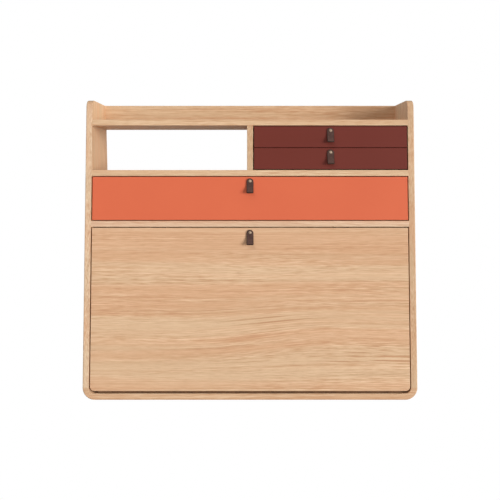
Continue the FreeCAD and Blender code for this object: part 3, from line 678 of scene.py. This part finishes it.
def make_finishes() -> Finishes:
    """Make every finish of the desk.

    Returns:
        The materials, by the names of their finishes.
    """
    across, upright = Grain.ALONG_X, Grain.ALONG_Z
    # Painted shade: the inner faces of the sides darken near the front, where they show in the gaps beside
    # the drawers and the flap
    painted_gap_shade = {"gain": (0.85, 0.72, 0.58), "reach": 60 * MM}
    # Painted shade: a warmer, darker tone on the edges and shelf faces that show in the gaps round the flap
    # and drawers
    painted_warm_gap_shade = (1.05, 0.93, 0.78)
    # Painted shade: the upward faces of the side panels' tops are darker, as little light falls from above
    painted_top_shade = Tint(Look.UP, (0.77, 0.75, 0.73))
    finishes = (
        OakVeneer("oak_across", across, (0.4, 0.0, 0.2), (0.96, 0.95, 0.94)),
        OakVeneer("oak_flap", across, (-0.25, 0.0, 6.151), (1.03, 1.035, 1.045),
                  tuple(Tint(look, painted_warm_gap_shade) for look in (Look.UP, Look.LEFT, Look.RIGHT)),
                  heart=(-0.01, 6.016), broad_share=0.42, thread_shift=23.5),
        # Painted light: the left side's front is paler and less saturated, as light from the left falls on
        # it
        OakVeneer("oak_left", upright, (0.3, 0.1, 0.0), (1.07, 1.14, 1.22), (
            Tint(Look.RIGHT, below=NICHE_UNDER, **painted_gap_shade),
            # Painted shade under the top shelf on the niche's left wall
            Tint(Look.RIGHT, (0.90, 0.91, 0.90), above=NICHE_FLOOR, below=TOP_UNDER),
            # Painted light on the tray's left wall, lighter and less saturated
            Tint(Look.RIGHT, (1.03, 1.07, 1.07), above=TRAY_FLOOR),
            painted_top_shade)),
        # Painted shade: the right side's front is a little darker, as little light comes from the far right
        OakVeneer("oak_right", upright, (0.1, 0.6, 0.0), (0.93, 0.93, 0.93), (
            Tint(Look.LEFT, below=TOP_UNDER, **painted_gap_shade),
            # Painted light on the shaded right wall of the tray, lighter and cooler
            Tint(Look.LEFT, (1.13, 1.25, 1.40), above=TRAY_FLOOR),
            painted_top_shade)),
        OakVeneer("oak_divider", upright, (0.1, 0.6, 0.0), (0.90, 0.885, 0.87)),
        OakVeneer("oak_top", across, (0.7, 0.0, 0.4), (1.03, 1.03, 1.02),
                  # Painted light on the shaded underside of the top shelf, lighter and cooler
                  (Tint(Look.DOWN, (1.02, 1.09, 1.17)),)),
        OakVeneer("oak_niche", across, (0.7, 0.0, 0.4), (1.06, 1.11, 1.13), (Tint(Look.DOWN, painted_warm_gap_shade),)),
        OakVeneer("oak_desk", across, (0.7, 0.0, 0.4), (1.08, 1.13, 1.25),
                  (Tint(Look.UP, painted_warm_gap_shade), Tint(Look.DOWN, painted_warm_gap_shade))),
        OakVeneer("oak_rail", across, (0.9, 0.3, 0.0), (0.97, 1.0, 1.01)),
        Lacquer("orange_lacquer", (224, 111, 76), (221, 108, 74)),
        Lacquer("oxblood_lacquer", (110, 46, 36), (107, 44, 34)),
        Plywood("birch_ply_sides", Grain.ALONG_Y, "X"),
        Plywood("birch_ply_backs", across, "Y"),
        Beech("beech_across", across),
        Beech("beech_inward", Grain.ALONG_Y),
        Leather("pull_leather"),
        # The studs carry painted shade round the rims of their domes
        Metal("stud_metal", (164, 144, 124), (144, 124, 105), (0.5, 0.64), metallic=0.7, rim=(104, 85, 68)),
        Metal("hinge_bronze", (112, 78, 50), (88, 60, 37), (0.42, 0.58), metallic=0.6),
        Metal("stay_zinc", (188, 188, 186), (160, 160, 158), (0.26, 0.42)),
        Metal("screw_steel", (176, 172, 166), (140, 136, 130), (0.25, 0.4)),
        Moulded("catch_plastic", (86, 66, 54), (68, 52, 43)),
    )
    return {finish.name: finish.make() for finish in finishes}


def added(name: str, data: bpy.types.ID) -> bpy.types.Object:
    """Add an object to the scene.

    Args:
        name: Name of the object.
        data: Its mesh, lamp or camera.

    Returns:
        The new object.
    """
    item = bpy.data.objects.new(name, data)
    bpy.context.scene.collection.objects.link(item)
    return item


def put(name: str, mesh: bpy.types.Mesh, material: bpy.types.Material, body: str,
        replaced: Iterable[str]) -> bpy.types.Object:
    """Add a finished piece to the scene and let it ride.

    Args:
        name: Name of the piece.
        mesh: Its mesh, in place.
        material: Its finish.
        body: The body that it rides on.
        replaced: Names of the solids that it stands for.

    Returns:
        The new object.
    """
    piece = added(name, mesh)
    mesh.materials.clear()
    mesh.materials.append(material)
    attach(piece, body)
    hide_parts(*replaced)
    LOG.info("built %s with %d faces on %s", name, len(mesh.polygons), body)
    return piece


@dataclass
class SubAssembly:
    """Solids that are shown as they are, each in its finish."""

    frame: Frame
    finishes: Finishes

    def cover(self, finish: str, *nodes: str) -> None:
        """Give solids their finish.

        Args:
            finish: Name of the finish.
            nodes: Names of the solids.
        """
        for node in nodes:
            materials = self.frame["nodes"][node].data.materials
            materials.clear()
            materials.append(self.finishes[finish])
            LOG.info("dressed %s in %s", node, finish)


@dataclass
class Case(SubAssembly):
    """The oak case with its wall rails, runners and the fixed fittings."""

    def dress(self) -> None:
        """Give every solid of the case its finish."""
        self.cover("oak_left", "left_side_panel")
        self.cover("oak_right", "right_side_panel")
        self.cover("oak_divider", "centre_divider")
        self.cover("oak_across", "bottom_panel", "left_bottom_corner", "right_bottom_corner")
        self.cover("oak_across", "back_panel", "small_bay_back")
        self.cover("oak_top", "top_shelf")
        self.cover("oak_niche", "niche_shelf")
        self.cover("oak_desk", "desk_shelf")
        self.cover("oak_rail", "back_rail")
        self.cover("beech_across", "upper_wall_rail", "lower_wall_rail", "case_dowels")
        self.cover("beech_inward", "wide_drawer_runners", "small_drawer_runners")
        self.cover("hinge_bronze", "hinge_case_leaf", "hinge_pin")
        self.cover("stay_zinc", "left_stay_track", "right_stay_track")
        self.cover("catch_plastic", "magnet_catches")


@dataclass
class Flap(SubAssembly):
    """The fold-down flap with its hinge leaf, brackets, strikes and the two stay arms."""

    def dress(self) -> None:
        """Give the flap and its fittings their finishes."""
        self.cover("oak_flap", "flap_panel")
        self.cover("hinge_bronze", "hinge_flap_leaf")
        self.cover("stay_zinc", "stay_pivot_pins", "strike_plates")
        self.cover("stud_metal", "flap_pull_stud")
        for side in ("left", "right"):
            self.cover("stay_zinc", f"{side}_stay_bracket", f"{side}_stay_arm", f"{side}_guide_stud")


@dataclass
class Drawer(SubAssembly):
    """One drawer: a lacquered front on a plywood box."""

    name: str
    lacquer: str

    def dress(self) -> None:
        """Give the drawer its finishes."""
        self.cover(self.lacquer, f"{self.name}_front")
        self.cover("birch_ply_sides", f"{self.name}_left_side", f"{self.name}_right_side")
        self.cover("birch_ply_backs", f"{self.name}_back", f"{self.name}_bottom")
        self.cover("stud_metal", f"{self.name}_pull_stud")


def join_rings(form: bmesh.types.BMesh, rings: Sequence[Sequence[bmesh.types.BMVert]]) -> None:
    """Join each ring of points to the next one with faces.

    Args:
        form: The form that the points belong to.
        rings: Rings with the same number of points.
    """
    for upper, lower in zip(rings, rings[1:]):
        for here, there in zip(range(-1, len(upper)), range(len(upper))):
            form.faces.new((upper[here], upper[there], lower[there], lower[here]))


def finished(form: bmesh.types.BMesh, name: str) -> bpy.types.Mesh:
    """Turn a form into a mesh whose faces look outwards.

    Args:
        form: The form, which is freed.
        name: Name of the mesh.

    Returns:
        The mesh.
    """
    bmesh.ops.recalc_face_normals(form, faces=form.faces)
    mesh = bpy.data.meshes.new(name)
    form.to_mesh(mesh)
    form.free()
    return mesh


@dataclass
class Pull:
    """A leather pull: a thick strap, round at its top, that curls away from the front below its stud."""

    owner: str
    body: str
    leather: bpy.types.Material
    slant: Slant
    width: float = 21 * MM
    length: float = 50.5 * MM
    thickness: float = 3.5 * MM
    flat_length: float = 13.5 * MM
    curl: float = math.radians(40)
    curl_power: float = 0.85
    curl_steps: int = 40
    edge_round: float = 1.1 * MM
    foot_round: float = 2.0 * MM
    rim_width: float = 4.0 * MM
    rows: int = 72
    arc_steps: int = 5
    face_steps: int = 14
    end_share: float = 0.0004

    def build(self) -> bpy.types.Object:
        """Model the strap and let it stand for its solid.

        Returns:
            The strap.
        """
        node = f"{self.owner}_pull_tab"
        low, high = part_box(node)
        lift = self.thickness * math.sin(self.slant.angle)
        top = Vector(((low[0] + high[0]) / 2, high[1], high[2] - lift))
        mesh = self.strap()
        mesh.transform(self.slant.placed(top))
        return put(f"{self.owner}_leather_pull", mesh, self.leather, self.body, [node])

    def half_width(self, down: float) -> float:
        """Half the strap's width.

        Args:
            down: Distance below its top end.

        Returns:
            Half the width there.
        """
        half = self.width / 2
        for radius, inset in ((half, down), (self.foot_round, self.length - down)):
            if inset < radius:
                return half - radius + math.sqrt(max(radius ** 2 - (radius - inset) ** 2, 0.0))
        return half

    def section(self, half: float) -> list[tuple[float, float]]:
        """Closed section of the strap, across and out from the front.

        Args:
            half: Half the width there.

        Returns:
            Points of a box with rounded corners.
        """
        bend = min(self.edge_round, half)
        points = []
        for corner_x, corner_n, start in ((1, 1, 0), (-1, 1, 1), (-1, 0, 2), (1, 0, 3)):
            centre_x = corner_x * (half - bend)
            centre_n = self.thickness - self.edge_round if corner_n else self.edge_round
            for step in range(self.arc_steps + 1):
                turn = (start + step / self.arc_steps) * math.pi / 2
                out = centre_n + self.edge_round * math.sin(turn)
                points.append((centre_x + bend * math.cos(turn), out))
            if start in (0, 2):
                run = -2 * centre_x / self.face_steps
                for step in range(1, self.face_steps):
                    points.append((centre_x + run * step, points[-1][1]))
        return points

    def bent(self, across: float, down: float, out: float) -> Vector:
        """Point of the flat strap after its lower part has been curled away from the front.

        Args:
            across: Distance from the strap's middle line.
            down: Distance below its top end, along the strap.
            out: Distance from its back face.

        Returns:
            The point, on an upright front with the strap's top end at the origin.
        """
        free = self.length - self.flat_length
        reach = max(down - self.flat_length, 0.0)
        step = reach / self.curl_steps
        turns = [self.curl * ((k + 0.5) * step / free) ** self.curl_power for k in range(self.curl_steps)]
        stand_off = step * sum(map(math.sin, turns))
        drop = min(down, self.flat_length) + step * sum(map(math.cos, turns))
        turn = self.curl * (reach / free) ** self.curl_power
        return Vector((across, -stand_off - out * math.cos(turn), out * math.sin(turn) - drop))

    def strap(self) -> bpy.types.Mesh:
        """Loft the strap from its top end to its foot.

        Returns:
            The mesh, drawn on an upright front with its top end at the origin.
        """
        form = bmesh.new()
        rim_layer, painted_foot_light_layer = (form.verts.layers.float.new(mark.value) for mark in Mark)
        rings = []
        for row in range(self.rows + 1):
            ease = 0.5 - 0.5 * math.cos(math.pi * row / self.rows)
            down = self.length * min(max(ease, self.end_share), 1.0 - self.end_share)
            half = self.half_width(down)
            ring = []
            for across, out in self.section(half):
                vert = form.verts.new(self.bent(across, down, out))
                # The dark rim runs round the top, the sides and the foot; at the foot it is partly painted
                # shade
                inset = min(half - abs(across), down, self.length - down)
                vert[rim_layer] = 1.0 - min(max(inset, 0.0) / self.rim_width, 1.0)
                # Share of the way down the strap, for the painted light towards the foot
                vert[painted_foot_light_layer] = down / self.length
                ring.append(vert)
            rings.append(ring)
        join_rings(form, rings)
        form.faces.new(rings[0][::-1])
        form.faces.new(rings[-1])
        for face in form.faces:
            face.smooth = True
        return finished(form, "leather_strap")


@dataclass
class ScrewSet:
    """Countersunk cross-head screws that stand for one group of plain screws."""

    node: str
    body: str
    heads: Sequence[Vector]
    material: bpy.types.Material
    head_radius: float = 2.8 * MM
    shank_radius: float = 1.4 * MM
    thread_radius: float = 1.75 * MM
    head_depth: float = 1.9 * MM
    thread_pitch: float = 1.6 * MM
    recess_radius: float = 1.5 * MM
    recess_width: float = 0.55 * MM
    recess_depth: float = 0.9 * MM
    recess_floor: float = 0.55
    rim: float = 0.12 * MM
    merge: float = 0.01 * MM
    end_slice: float = 0.2 * MM
    face_slice: float = 0.05 * MM
    sides: int = 32
    seed: int = 5

    def build(self, frame: Frame) -> bpy.types.Object:
        """Model one screw and set a copy of it in every place.

        Args:
            frame: The loaded frame, whose plain screws give the places.

        Returns:
            All the screws of the set as one piece.
        """
        places = self.places(frame["nodes"][self.node])
        length = places[0][2]
        pattern = added("screw_pattern", self.one_screw(length))
        points = bpy.data.meshes.new("screw_places")
        points.from_pydata([place for place, _, _ in places], [], [])
        direction = points.attributes.new("direction", "FLOAT_VECTOR", "POINT")
        for item, (_, heading, _) in zip(direction.data, places):
            item.vector = heading
        carrier = added("screw_carrier", points)
        modifier = carrier.modifiers.new("set_screws", "NODES")
        modifier.node_group = self.scatter_tree()
        sockets = {item.name: item.identifier for item in modifier.node_group.interface.items_tree}
        modifier[sockets["Screw"]] = pattern
        modifier[sockets["Seed"]] = self.seed
        modifier[sockets["Finish"]] = self.material
        graph = bpy.context.evaluated_depsgraph_get()
        mesh = bpy.data.meshes.new_from_object(carrier.evaluated_get(graph))
        bpy.data.objects.remove(carrier)
        bpy.data.objects.remove(pattern)
        return put(f"{self.node}_cross_head", mesh, self.material, self.body, [self.node])

    def places(self, plain: bpy.types.Object) -> list[tuple[Vector, Vector, float]]:
        """Where each plain screw sits.

        Args:
            plain: The solid that holds the group of plain screws.

        Returns:
            Centre of the head's face, direction that the head looks in, and length, for each screw.
        """
        form = bmesh.new()
        form.from_mesh(plain.data)
        bmesh.ops.remove_doubles(form, verts=form.verts, dist=self.merge)
        left = set(form.verts)
        places = []
        while left:
            island = {left.pop()}
            rim = island
            while rim:
                rim = {edge.other_vert(vert) for vert in rim for edge in vert.link_edges} & left
                left -= rim
                island = island | rim
            places.append(self.seat([vert.co.copy() for vert in island]))
        form.free()
        return sorted(places, key=lambda place: tuple(place[0]))

    def seat(self, island: Sequence[Vector]) -> tuple[Vector, Vector, float]:
        """Place of one plain screw from its points.

        Args:
            island: Points of the plain screw.

        Returns:
            Centre of the head's face, direction that the head looks in, and length.
        """

        def reach(heading: Vector) -> list[float]:
            """How far each point lies in a direction."""
            return [point.dot(heading) for point in island]

        def end(heading: Vector, depth: float) -> list[Vector]:
            """Points close to the end that the screw shows in a direction."""
            top = max(reach(heading))
            return [point for point in island if point.dot(heading) > top - depth]

        def size(heading: Vector) -> tuple[float, float]:
            """Length of the screw along a direction, and its width at that end."""
            far, face = reach(heading), end(heading, self.end_slice)
            return round(max(far) - min(far), 4), max((p - q).length for p in face for q in face)

        heading = max(self.heads, key=size)
        face = end(heading, self.face_slice)
        centre = (Vector(map(min, zip(*face))) + Vector(map(max, zip(*face)))) / 2
        far = reach(heading)
        return centre + heading * (max(far) - centre.dot(heading)), heading, max(far) - min(far)

    def one_screw(self, length: float) -> bpy.types.Mesh:
        """Turn one screw, with its head's face at the origin and its point along -Z.

        Args:
            length: Length of the screw.

        Returns:
            The mesh of the screw.
        """
        profile = [(self.head_radius - self.rim, 0.0), (self.head_radius, -self.rim),
                   (self.shank_radius, -self.head_depth)]
        depth = self.head_depth + self.thread_pitch
        while depth < length - 2 * self.thread_pitch:
            profile.append((self.shank_radius, -depth))
            profile.append((self.thread_radius, -depth - self.thread_pitch / 2))
            depth += self.thread_pitch
        profile.append((self.shank_radius, -depth))
        form = bmesh.new()
        turns = [2 * math.pi * k / self.sides for k in range(self.sides)]
        rings = [[form.verts.new((radius * math.cos(turn), radius * math.sin(turn), z)) for turn in turns]
                 for radius, z in profile]
        join_rings(form, rings)
        tip = form.verts.new((0.0, 0.0, -length))
        for k in range(self.sides):
            form.faces.new((rings[-1][k], tip, rings[-1][(k + 1) % self.sides]))
        self.cross_recess(form, rings[0])
        return finished(form, "screw")

    def cross_recess(self, form: bmesh.types.BMesh, rim: Sequence[bmesh.types.BMVert]) -> None:
        """Close the head's face with a cross-shaped recess that narrows towards its floor.

        Args:
            form: The screw's mesh.
            rim: The ring round the head's face.
        """
        half = self.recess_width / 2
        reach = self.recess_radius
        corners = []
        for quarter in range(4):
            turn = Matrix.Rotation(quarter * math.pi / 2, 3, "Z")
            corners += [turn @ Vector((x, y, 0)) for x, y in ((reach, -half), (reach, half), (half, half))]
        mouth = [form.verts.new(corner) for corner in corners]
        deep = Vector((0, 0, -self.recess_depth))
        floor = [form.verts.new(corner * self.recess_floor + deep) for corner in corners]
        join_rings(form, [mouth, floor])
        form.faces.new(floor)
        edges = [form.edges.get((ring[k - 1], ring[k])) for ring in (rim, mouth) for k in range(len(ring))]
        bmesh.ops.triangle_fill(form, edges=edges, use_beauty=True)

    @staticmethod
    def scatter_tree() -> bpy.types.NodeTree:
        """Geometry nodes that set a screw on every point, each turned by its own amount.

        Returns:
            The node tree, with inputs for the screw, the seed and the finish.
        """
        tree = bpy.data.node_groups.new("set_screws", "GeometryNodeTree")
        inputs = {"Geometry": "Geometry", "Screw": "Object", "Seed": "Int", "Finish": "Material"}
        for name, kind in inputs.items():
            tree.interface.new_socket(name, in_out="INPUT", socket_type=f"NodeSocket{kind}")
        tree.interface.new_socket("Geometry", in_out="OUTPUT", socket_type="NodeSocketGeometry")
        nodes = Nodes(tree)
        given = nodes.add("NodeGroupInput").outputs
        heading = nodes.add("GeometryNodeInputNamedAttribute", data_type="FLOAT_VECTOR")
        nodes.feed(heading.inputs["Name"], "direction")
        align = nodes.add("FunctionNodeAlignRotationToVector", {"Vector": heading.outputs[0]}, axis="Z")
        # Input 3 is the upper limit of a plain number
        quarter = {"Seed": given["Seed"], 3: math.pi / 2}
        chance = nodes.add("FunctionNodeRandomValue", quarter, data_type="FLOAT")
        turn = nodes.add("FunctionNodeAxisAngleToRotation", {"Angle": chance.outputs[1]})
        both = {"Rotation": align.outputs[0], "Rotate By": turn.outputs[0]}
        spin = nodes.add("FunctionNodeRotateRotation", both, rotation_space="LOCAL")
        screw = nodes.add("GeometryNodeObjectInfo", {"Object": given["Screw"]})
        screws = nodes.add("GeometryNodeInstanceOnPoints", {
            "Points": given["Geometry"], "Instance": screw.outputs["Geometry"], "Rotation": spin.outputs[0]})
        whole = nodes.add("GeometryNodeRealizeInstances", {0: screws.outputs[0]})
        dressed = {"Geometry": whole.outputs[0], "Material": given["Finish"]}
        nodes.add("NodeGroupOutput", {0: nodes.add("GeometryNodeSetMaterial", dressed).outputs[0]})
        return tree


@dataclass(frozen=True)
class Lamp:
    """A soft lamp so far off that it lights the whole desk evenly; its angles are in degrees."""

    name: str
    to_the_right: float
    above: float
    spread: float
    strength: float
    distance: float = 3.0

    def add(self) -> None:
        """Add the lamp, aimed at the desk."""
        data = bpy.data.lights.new(self.name, "SUN")
        data.angle = math.radians(self.spread)
        data.energy = self.strength
        lamp = added(self.name, data)
        turn = Euler((-math.radians(self.above), 0.0, math.radians(self.to_the_right)))
        heading = turn.to_matrix() @ Vector((0.0, -1.0, 0.0))
        lamp.location = heading * self.distance
        lamp.rotation_euler = heading.to_track_quat("Z", "Y").to_euler()


@dataclass
class Studio:
    """White studio: camera, soft lamps, floor and world."""

    camera_place: Triple = (0.0, -2.359, 0.3275)
    camera_pitch: float = math.radians(6.22)
    lens: float = 50.0
    sensor: float = 36.0
    floor_drop: float = 1.6
    floor_size: float = 12.0
    floor_colour: Rgb = (190, 190, 188)
    floor_roughness: float = 0.8
    white: Rgb = (255, 255, 255)
    sky: float = 0.32
    lamps: tuple[Lamp, ...] = (
        Lamp("key_light", to_the_right=49, above=3, spread=28, strength=2.71),
        Lamp("fill_light", to_the_right=-40, above=50, spread=40, strength=0.55),
    )

    def build(self) -> None:
        """Set up the camera, the lamps, the floor and the world."""
        self.add_camera()
        for lamp in self.lamps:
            lamp.add()
        self.add_floor()
        self.add_world()
        bpy.context.scene.view_settings.view_transform = "Standard"

    def add_camera(self) -> None:
        """Add the camera at the photograph's viewing angle."""
        data = bpy.data.cameras.new("camera")
        data.lens = self.lens
        data.sensor_width = self.sensor
        camera = added("camera", data)
        camera.location = self.camera_place
        camera.rotation_euler = Euler((math.pi / 2 - self.camera_pitch, 0.0, 0.0))
        bpy.context.scene.camera = camera

    def add_floor(self) -> None:
        """Add the pale floor, which the camera sees as plain white."""
        half = self.floor_size / 2
        mesh = bpy.data.meshes.new("floor")
        corners = [(-half, -half), (half, -half), (half, half), (-half, half)]
        mesh.from_pydata([(x, y, -self.floor_drop) for x, y in corners], [], [(0, 1, 2, 3)])
        floor = added("floor", mesh)
        shade = Shader(bpy.data.materials.new("floor_white"))
        shade.set(Base_Color=linear(self.floor_colour), Roughness=self.floor_roughness)
        white = shade.add("ShaderNodeEmission", {"Color": linear(self.white), "Strength": 1.0})
        parts = {0: shade.seen(), 1: shade.main.outputs[0], 2: white.outputs[0]}
        mixed = shade.add("ShaderNodeMixShader", parts)
        shade.feed(shade.tree.nodes["Material Output"].inputs["Surface"], mixed.outputs[0])
        mesh.materials.append(shade.owner)

    def add_world(self) -> None:
        """Light the scene evenly, and show white where nothing stands."""
        world = bpy.data.worlds.new("studio")
        bpy.context.scene.world = world
        shade = Shader(world)
        strength = shade.span(shade.seen(), 0.0, 1.0, self.sky, 1.0)
        shade.set(Color=linear(self.white), Strength=strength)


def build_screws(frame: Frame, finishes: Finishes, slant: Slant) -> None:
    """Set every group of screws.

    Args:
        frame: The loaded frame.
        finishes: The desk's finishes.
        slant: The slanted front.
    """
    up = Vector((0, 0, 1))
    right = Vector((1, 0, 0))
    thin_leaf = 1.4 * MM
    into_case = slant.placed(Vector()).to_3x3() @ Vector((0, 1, 0))
    sets = [
        ScrewSet("hinge_case_screws", "case", [up], finishes["hinge_bronze"], head_depth=thin_leaf),
        ScrewSet("hinge_flap_screws", "flap", [-up], finishes["hinge_bronze"], head_depth=thin_leaf),
        ScrewSet("stay_track_screws", "case", [right, -right], finishes["screw_steel"]),
        ScrewSet("stay_bracket_screws", "flap", [into_case], finishes["screw_steel"]),
        ScrewSet("runner_screws", "case", [right, -right], finishes["screw_steel"]),
    ]
    for screws in sets:
        screws.build(frame)


def main() -> None:
    """Build the desk's looks in order."""
    logging.basicConfig(level=logging.INFO, format="%(name)s: %(message)s")
    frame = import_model()
    Studio().build()
    finishes = make_finishes()
    slant = Slant()
    leather = finishes["pull_leather"]
    Case(frame, finishes).dress()
    Flap(frame, finishes).dress()
    drawers = {
        "wide_drawer": "orange_lacquer",
        "upper_small_drawer": "oxblood_lacquer",
        "lower_small_drawer": "oxblood_lacquer",
    }
    for name, lacquer in drawers.items():
        Drawer(frame, finishes, name, lacquer).dress()
        Pull(name, name, leather, slant).build()
    Pull("flap", "flap", leather, slant).build()
    build_screws(frame, finishes, slant)


if __name__ == "__main__":
    main()
